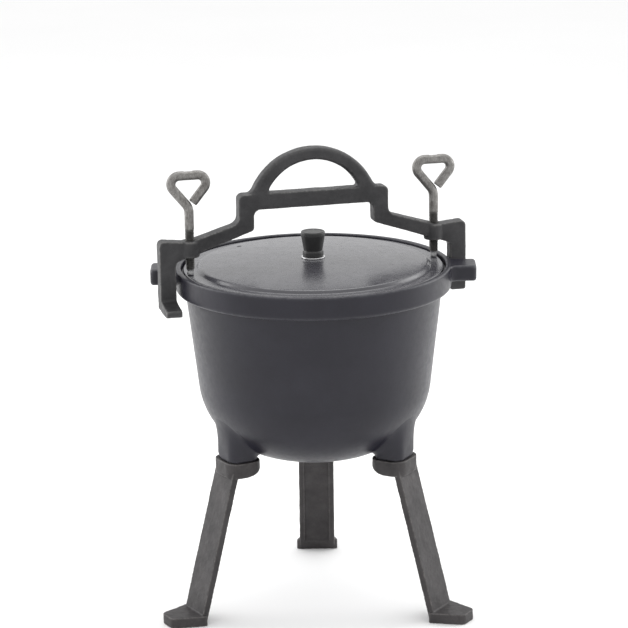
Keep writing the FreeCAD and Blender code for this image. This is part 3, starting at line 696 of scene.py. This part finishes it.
# %% Finishes for plastic and bright steel
def moulded_plastic():
    """Black plastic: an almost even black, a fine grain, and a little gloss."""
    finish, tree, shader = new_finish("knob_black")
    tone = blended(tree, noise(tree, 6.0, 4.0), grey(26), grey(40, 1.0, 1.04))
    wear = node(tree, "ShaderNodeAttribute", {"attribute_name": "wear"}).outputs["Fac"]
    tree.links.new(blended(tree, spread(tree, wear, 0.0, 1.0, 0.0, 0.6), tone, grey(66)),
                   shader.inputs["Base Color"])
    tree.links.new(spread(tree, noise(tree, 3.0), 0.3, 0.7, 0.32, 0.46), shader.inputs["Roughness"])
    tree.links.new(bumped(tree, noise(tree, 0.35, 2.0), 0.012), shader.inputs["Normal"])
    return finish


def bright_steel():
    """Plated steel: a pale metal with fine round scratches and small dull spots."""
    finish, tree, shader = new_finish("bright_steel")
    tone = blended(tree, noise(tree, 2.5, 5.0), grey(186, 1.0, 1.02), grey(216, 1.0, 1.0))
    tree.links.new(tone, shader.inputs["Base Color"])
    shader.inputs["Metallic"].default_value = 1.0
    tree.links.new(spread(tree, noise(tree, 0.8, 4.0), 0.3, 0.7, 0.18, 0.38), shader.inputs["Roughness"])
    tree.links.new(bumped(tree, noise(tree, 0.25, 2.0, 0.5, (1, 1, 6)), 0.006), shader.inputs["Normal"])
    return finish


knob_finish, bright_finish = moulded_plastic(), bright_steel()
print("finishes", knob_finish.name, bright_finish.name)

# %% Knob, washers and bolt
knob_low, knob_high = corners("knob")
KNOB_TOP, KNOB_WAIST, KNOB_FOOT, FOOT_RING, KNOB_CAP = knob_high[0], 9.4, 10.6, 5.0, 4.0
MOULD_LINE, MOULD_ANGLE, MOULD_SHARPNESS = 0.09, 0.5, 28
knob_profile = outline([(0, knob_high[2] - 0.7, 0), (KNOB_TOP - 2.4, knob_high[2] - 0.5, 1.5),
                        (KNOB_TOP - 1.4, knob_high[2], 0.6), (KNOB_TOP, knob_high[2] - 0.2, 1.0),
                        (KNOB_TOP, knob_high[2] - KNOB_CAP, 2.5),
                        (KNOB_WAIST, knob_low[2] + FOOT_RING + 0.6, 1.2),
                        (KNOB_FOOT, knob_low[2] + FOOT_RING, 0.8), (KNOB_FOOT, knob_low[2], 0.6),
                        (0, knob_low[2], 0)], 0.7, closed=False)
knob_points, knob_faces = turned(knob_profile, 144)
around = np.arctan2(knob_points[:, 1], knob_points[:, 0])
ridge = 1 + MOULD_LINE / KNOB_TOP * np.exp(-(np.sin(around - MOULD_ANGLE) * MOULD_SHARPNESS) ** 2)
knob_points[:, :2] *= ridge[:, None]
knob = worn(piece("knob_moulding", (knob_points, knob_faces)), 0.8)
finished(knob, knob_finish, "knob_set", "knob")


def washer(name, hole, round_over):
    """A flat ring that fills a node's box, with its edges rounded over."""
    low, high = corners(name)
    ring = outline([(hole, low[2], round_over), (high[0], low[2], round_over),
                    (high[0], high[2], round_over), (hole, high[2], round_over)], 1.0)
    made = worn(piece(name + "_ring", turned(ring, 128, ring=True)), 0.4)
    return finished(made, bright_finish, "knob_set", name)


washer("knob_seat_washer", 3.2, 0.35)
washer("bolt_washer", 3.2, 0.25)

bolt_low, bolt_high = corners("knob_bolt")
HEAD_RADIUS, HEAD_HEIGHT, SHANK_RADIUS = bolt_high[0], 3.6, 3.0
PLAIN_SHANK, BOLT_PITCH, BOLT_THREAD_DEPTH = 6.0, 1.0, 0.5
shank_bottom = bolt_low[2] + HEAD_HEIGHT
thread_bottom = shank_bottom + PLAIN_SHANK
head = outline([(0, bolt_low[2], 0), (HEAD_RADIUS, bolt_low[2], 1.8), (HEAD_RADIUS, shank_bottom, 0.2),
                (SHANK_RADIUS - 0.05, shank_bottom, 0.2), (SHANK_RADIUS - 0.05, thread_bottom, 0)],
               0.5, closed=False)
thread_z = np.arange(thread_bottom + 0.1, bolt_high[2] - 0.4, 0.12)
thread = np.column_stack([np.full(len(thread_z), SHANK_RADIUS), thread_z])
tip = np.array([[SHANK_RADIUS - 0.5, bolt_high[2]], [0, bolt_high[2]]])
bolt_points, bolt_faces = turned(np.vstack([head, thread, tip]), 64)
turn_of = np.arctan2(bolt_points[:, 1], bolt_points[:, 0])
in_thread = (bolt_points[:, 2] > thread_bottom) & (bolt_points[:, 2] < bolt_high[2] - 0.3)
groove = BOLT_THREAD_DEPTH / 2 * (1 - np.cos(2 * math.pi * bolt_points[:, 2] / BOLT_PITCH - turn_of))
groove *= in_thread
bolt_points[:, :2] *= (1 - groove / SHANK_RADIUS)[:, None]
bolt = piece("knob_bolt_turned", (bolt_points, bolt_faces))
slot_half, slot_depth = 0.6, 1.3
slot_loop = np.array([[-8, -slot_half, 0], [8, -slot_half, 0], [8, slot_half, 0], [-8, slot_half, 0]])
slot_loop = slot_loop + [0, 0, bolt_low[2] - 2]
cut_out(bolt, *prism(slot_loop, slot_loop + [0, 0, 2 + slot_depth]))
worn(bolt, 0.4)
finished(bolt, bright_finish, "knob_set", "knob_bolt")

# %% [markdown]
# ## The yoke
# The yoke is a flat casting that steps down from a middle bar to two arms. Each arm has a boss with a
# threaded hole, and ends in a leg with a hook that turns in under a lug. A half ring on the bar is
# the handle. Outline, handle, bosses and hooks are separate solids that are melted into one.

# %% Solids of the yoke
PARK_ANGLE = 14.5
tip_height = corners("left_clamp_screw")[0][2]
YOKE_THICKNESS, LEG_TO_RIM, YOKE_LEG_WIDTH = 14.0, 3.5, 16.5
BAR_TOP, BAR_DEPTH, BAR_HALF, DROP_WIDTH = 79.3, 16.3, 78.0, 15.9
LEG_TOP, LEG_BOTTOM, ARM_UNDER_LEG = 37.5, -35.5, 14.6
ARM_SHOULDER, ARM_TOP, DROP_BOTTOM = 49.8, 35.5, 42.1
ARCH_RISE, ARCH_HALF, ARCH_SECTION, ARCH_INNER_HALF, ARCH_ROUND = 44.1, 64.3, 13.3, 47.4, 5.0
TAB_LENGTH, TAB_ROOT, TAB_TIP = 26.0, 10.5, 7.0
BOSS_RADIUS, BOSS_DROP, BOSS_ROUND, SCREW_INSET = 10.0, 1.5, 1.5, 4.5
BORE_RADIUS = 4.95
screw_offset = LID_RADIUS - SCREW_INSET
leg_inner = RIM_RADIUS + LEG_TO_RIM
leg_outer = leg_inner + YOKE_LEG_WIDTH
drop_inner = BAR_HALF - DROP_WIDTH


def placed(points):
    """The yoke's own points, brought to where it is set down."""
    return spun_by(points, PARK_ANGLE) + [0, 0, tip_height]


def yoke_plate():
    """The stepped outline in X and Z, as thick as the yoke; its corners are rounded in the plane."""
    half = [(BAR_HALF, BAR_TOP, 6.0), (BAR_HALF, ARM_SHOULDER + 0.5, 9.0),
            (screw_offset + 2, ARM_TOP - 0.8, 16.0), (leg_outer, LEG_TOP, 5.0),
            (leg_outer, LEG_BOTTOM, 2.5), (leg_inner, LEG_BOTTOM, 2.5),
            (leg_inner, ARM_UNDER_LEG, 6.0), (drop_inner, DROP_BOTTOM, 4.5),
            (drop_inner, BAR_TOP - BAR_DEPTH, 7.0)]
    flat = outline(half + [(-a, b, r) for a, b, r in reversed(half)])
    near = np.column_stack([flat[:, 0], np.full(len(flat), -YOKE_THICKNESS / 2), flat[:, 1]])
    return prism(near, near + [0, YOKE_THICKNESS, 0])


def handle():
    """The half ring: rounded sections between an outer and an inner circle, flared into the bar."""
    inner_rise = ARCH_RISE - ARCH_SECTION
    outer = (ARCH_HALF ** 2 + ARCH_RISE ** 2) / (2 * ARCH_RISE)
    inner = (ARCH_INNER_HALF ** 2 + inner_rise ** 2) / (2 * inner_rise)
    outer_z, inner_z = BAR_TOP + ARCH_RISE - outer, BAR_TOP + inner_rise - inner
    low = BAR_TOP - BAR_DEPTH / 2
    share = np.linspace(0, 1, 90)
    edges = []
    for radius, centre, sign in ((outer, outer_z, 1), (inner, inner_z, -1)):
        start = math.asin((low - centre) / radius)
        angle = start + (math.pi - 2 * start) * share
        x, z = radius * np.cos(angle), centre + radius * np.sin(angle)
        near = np.clip(ARCH_ROUND - (z - BAR_TOP), 0, ARCH_ROUND)
        flare = ARCH_ROUND - np.sqrt(ARCH_ROUND ** 2 - np.minimum(near, ARCH_ROUND * 0.98) ** 2)
        edges.append(np.stack([x + sign * np.sign(x) * flare, z], -1))
    middle, reach = (edges[0] + edges[1]) / 2, (edges[0] - edges[1]) / 2
    section = rounded_box(1.0, 1.0, 0.55, 7, 3)
    rows = middle[:, None] + reach[:, None] * section[None, :, :1]
    y = np.broadcast_to(section[:, 1] * YOKE_THICKNESS / 2, rows.shape[:2])
    return lofted(np.stack([rows[..., 0], y, rows[..., 1]], -1))


def hook(side):
    """The tab that turns in under a lug: it thins towards its tip. side is 1 or -1."""
    y = YOKE_THICKNESS / 2
    flat = outline([(y - 3, LEG_BOTTOM, 0.5), (y + TAB_LENGTH, LEG_BOTTOM, 2.0),
                    (y + TAB_LENGTH, LEG_BOTTOM + TAB_TIP, 2.5), (y + 3, LEG_BOTTOM + TAB_ROOT, 4.0),
                    (y - 3, LEG_BOTTOM + TAB_ROOT + 3, 0.5)])
    near = np.column_stack([np.full(len(flat), leg_inner), flat])
    points, faces = prism(near, near + [YOKE_LEG_WIDTH, 0, 0])
    return spun_by(points, 0 if side > 0 else 180), faces


def boss(side):
    """The round thickening of an arm about its screw hole."""
    share = (leg_inner - screw_offset) / (leg_inner - drop_inner)
    under = ARM_UNDER_LEG + share * (DROP_BOTTOM - ARM_UNDER_LEG)
    bottom = under - BOSS_DROP
    profile = outline([(0, bottom, 0), (BOSS_RADIUS, bottom, BOSS_ROUND),
                       (BOSS_RADIUS, ARM_TOP, BOSS_ROUND), (0, ARM_TOP, 0)], closed=False)
    points, faces = turned(profile, 64)
    return points + [side * screw_offset, 0, 0], faces


yoke_solids = [yoke_plate(), handle(), hook(1), hook(-1), boss(1), boss(-1)]
yoke = melted(piece("yoke_casting", *[(placed(p), f) for p, f in yoke_solids]), 0.85, 4)
for side in (1, -1):
    bore = outline([(0, 0, 0), (BORE_RADIUS, 0, 0), (BORE_RADIUS, BAR_TOP, 0), (0, BAR_TOP, 0)],
                   200, closed=False)
    bore_points, bore_faces = turned(bore, 48)
    cut_out(yoke, placed(bore_points + [side * screw_offset, 0, 0]), bore_faces)
waved(yoke, (0.20, 12.0, 7), (0.09, 3.0, 8))
worn(yoke, 1.8)
finished(yoke, yoke_finish, "yoke", "yoke")

# %% [markdown]
# ## The clamp screws
# A clamp screw is one steel rod. Its lower half is threaded, with a short turned point that bears on
# the lid. Its upper half is bent into a three-cornered eye for the fingers. The rod is a circle carried
# along a flat path, and the thread is a wave on its radius that climbs one pitch in each turn.

# %% Steel rod finish
def rod_steel():
    """Hot rolled rod: brown grey scale with paler streaks, dark in the thread, bright at its point."""
    finish, tree, shader = new_finish("screw_steel")
    scale = blended(tree, spread(tree, noise(tree, 5.0, 5.0), 0.35, 0.65, 0.0, 1.0),
                    grey(92, 1.06, 0.94), grey(128, 1.03, 0.96))
    streak = noise(tree, 0.5, 3.0, 0.6, (1, 1, 0.12))
    scale = blended(tree, spread(tree, streak, 0.45, 0.7, 0.0, 0.5), scale, grey(170, 1.02, 0.97))
    # The threaded length is made darker, towards grey 48, over its whole length.
    darker_thread = node(tree, "ShaderNodeAttribute", {"attribute_name": "thread"}).outputs["Fac"]
    scale = blended(tree, darker_thread, scale, grey(48, 1.04, 0.96))
    turned_part = node(tree, "ShaderNodeAttribute", {"attribute_name": "turned"}).outputs["Fac"]
    scale = blended(tree, turned_part, scale, grey(205))
    tree.links.new(scale, shader.inputs["Base Color"])
    shader.inputs["Metallic"].default_value = 0.75
    tree.links.new(spread(tree, noise(tree, 1.2, 4.0), 0.3, 0.7, 0.34, 0.55), shader.inputs["Roughness"])
    tree.links.new(bumped(tree, noise(tree, 0.7, 4.0), 0.05), shader.inputs["Normal"])
    return finish


rod_finish = rod_steel()
print("finish", rod_finish.name)

# %% The rod's path and surface
ROD_RADIUS, THREAD_DEPTH, THREAD_PITCH, THREAD_END, THREAD_STEP = 4.7, 0.72, 1.5, 48.0, 0.15
PRESSED_HALF, PRESSED_DEPTH = 5.0, 0.55
POINT_RADIUS, POINT_LENGTH = 3.5, 6.0
NECK_HEIGHT, EYE_TOP, EYE_HALF, EYE_ROUND, NECK_ROUND = 68.8, 101.7, 26.9, 8.3, 14.0
EYE_OPENING = 0.5


def clamp_screw(name, side, body):
    """A clamp screw: every point of the path carries a circle in the plane across it.

    A wave is half of one plus the cosine of a full turn for each pitch of height, less the angle. The
    radius is the rod's, less the thread's depth times that wave to the power 0.7. It is smaller still
    at the turned point, the cut end and the pressed mark on the eye."""
    lean = math.atan2(EYE_HALF, EYE_TOP - NECK_HEIGHT)
    back = (ROD_RADIUS * (1 + math.cos(2 * lean)) + EYE_OPENING) / math.sin(2 * lean)
    bent = outline([(0, THREAD_END + 2, 0), (0, NECK_HEIGHT, NECK_ROUND), (-EYE_HALF, EYE_TOP, EYE_ROUND),
                    (EYE_HALF, EYE_TOP, EYE_ROUND),
                    (back * math.sin(lean), NECK_HEIGHT + back * math.cos(lean), 0)], 0.8, closed=False)
    shank = np.arange(POINT_LENGTH + 0.05, THREAD_END + 2, THREAD_STEP)
    straight = np.concatenate([[0, 0.35, 0.7, 2.0, 4.0, POINT_LENGTH - 0.1, POINT_LENGTH], shank])
    path = np.vstack([np.column_stack([0 * straight, straight]), bent])
    step = np.gradient(path, axis=0)
    heading_x, heading_z = (step / np.hypot(*step.T)[:, None]).T
    angle = np.linspace(0, 2 * math.pi, 48, endpoint=False)
    height = path[:, 1:]
    on_shank = np.arange(len(path))[:, None] < len(straight)
    in_thread = on_shank * eased((height - POINT_LENGTH) / 1.2) * eased((THREAD_END - height) / 3)
    wave = 0.5 + 0.5 * np.cos(2 * math.pi * height / THREAD_PITCH - angle)
    radius = np.broadcast_to(ROD_RADIUS, wave.shape) - THREAD_DEPTH * in_thread * wave ** 0.7
    lead_in = ROD_RADIUS - 0.75 + (height - POINT_LENGTH) * 0.7
    start = np.where(height < POINT_LENGTH, POINT_RADIUS, lead_in)
    radius = np.where(on_shank, np.minimum(radius, start), radius)
    radius = np.where(on_shank & (height < 0.6), np.minimum(radius, 2.9 + height), radius)
    from_end = np.arange(len(path))[::-1, None]
    radius = np.where(from_end == 0, radius - 0.7, np.where(from_end == 1, radius - 0.15, radius))
    pressed = eased((PRESSED_HALF - np.abs(path[:, :1])) / 1.2) * (height > EYE_TOP - 3) * ~on_shank
    radius = radius - PRESSED_DEPTH * pressed * np.clip(np.cos(angle), 0, 1) ** 0.5
    out_x = -heading_z[:, None] * np.cos(angle)
    out_z = heading_x[:, None] * np.cos(angle)
    out_y = np.broadcast_to(np.sin(angle), out_x.shape)
    rows = np.stack([path[:, :1] + radius * out_x, radius * out_y, height + radius * out_z], -1)
    points, faces = lofted(rows)
    made = piece(name + "_rod", (placed(points + [side * screw_offset, 0, 0]), faces))
    local = points_of(made)[:, 2] - tip_height
    dark = eased((local - POINT_LENGTH) / 0.8) * eased((THREAD_END + 1 - local) / 4) * 0.75
    bright = eased((POINT_LENGTH + 0.4 - local) / 0.5)
    for label, values in (("thread", dark), ("turned", bright)):
        store = made.data.attributes.new(label, "FLOAT", "POINT")
        store.data.foreach_set("value", values.astype(np.float32))
    waved(made, (0.06, 6.0, 9))
    return finished(made, rod_finish, body, name)


clamp_screw("left_clamp_screw", -1, "left_screw")
clamp_screw("right_clamp_screw", 1, "right_screw")

# %% [markdown]
# ## Floor, light and camera
# A plain pale floor and soft light from a bright room show dark iron best: its edges pick up the
# pale room, and the front stays dark. Three large soft lamps, one on each side and one above, stand
# a little behind the kettle. The camera is about three metres away with a long lens and looks down
# on the rim.

# %% The stage
FLOOR_SIZE = 40.0
bpy.ops.mesh.primitive_plane_add(size=FLOOR_SIZE, location=(0, 0, -0.0002))
floor = bpy.context.object
floor.name = "floor"
floor_finish, floor_tree, floor_shader = new_finish("pale_floor")
floor_tone = blended(floor_tree, noise(floor_tree, 400.0, 2.0), (0.90, 0.90, 0.90, 1),
                     (0.93, 0.93, 0.93, 1))
floor_tree.links.new(floor_tone, floor_shader.inputs["Base Color"])
floor_shader.inputs["Roughness"].default_value = 0.9
floor_shader.inputs["Specular IOR Level"].default_value = 0.1
floor.data.materials.append(floor_finish)

room = bpy.data.worlds.new("bright_room")
bpy.context.scene.world = room
room.use_nodes = True
room.node_tree.nodes["Background"].inputs["Color"].default_value = (1.0, 1.0, 1.0, 1.0)
room.node_tree.nodes["Background"].inputs["Strength"].default_value = 1.05


def soft_lamp(name, place, aim, size, power):
    """A square lamp at place, turned to face aim."""
    lamp = bpy.data.lights.new(name, "AREA")
    lamp.shape, lamp.size, lamp.energy = "SQUARE", size, power
    holder = bpy.data.objects.new(name, lamp)
    holder.location = place
    holder.rotation_euler = (Vector(aim) - Vector(place)).to_track_quat("-Z", "Y").to_euler()
    bpy.context.collection.objects.link(holder)


middle = Vector((0, 0, 0.25))
soft_lamp("left_lamp", (-1.7, 0.5, 0.9), middle, 1.4, 16.0)
soft_lamp("right_lamp", (1.7, 0.6, 0.9), middle, 1.4, 15.0)
soft_lamp("top_lamp", (0.1, 0.5, 1.9), middle, 1.4, 12.0)

# %% The camera
CAMERA_PLACE = (0.0, -2.9097, 1.0706)
CAMERA_DOWN, CAMERA_ROLL, CAMERA_VIEW = 14.79, -0.8, 12.14
eye = bpy.data.cameras.new("camera")
eye.sensor_width = 36.0
eye.lens = eye.sensor_width / 2 / math.tan(math.radians(CAMERA_VIEW / 2))
eye.clip_end = 60.0
camera = bpy.data.objects.new("camera", eye)
camera.matrix_world = (Matrix.Translation(CAMERA_PLACE)
                       @ Matrix.Rotation(math.radians(90 - CAMERA_DOWN), 4, "X")
                       @ Matrix.Rotation(math.radians(CAMERA_ROLL), 4, "Z"))
bpy.context.collection.objects.link(camera)
bpy.context.scene.camera = camera
bpy.context.scene.view_settings.view_transform = "Standard"
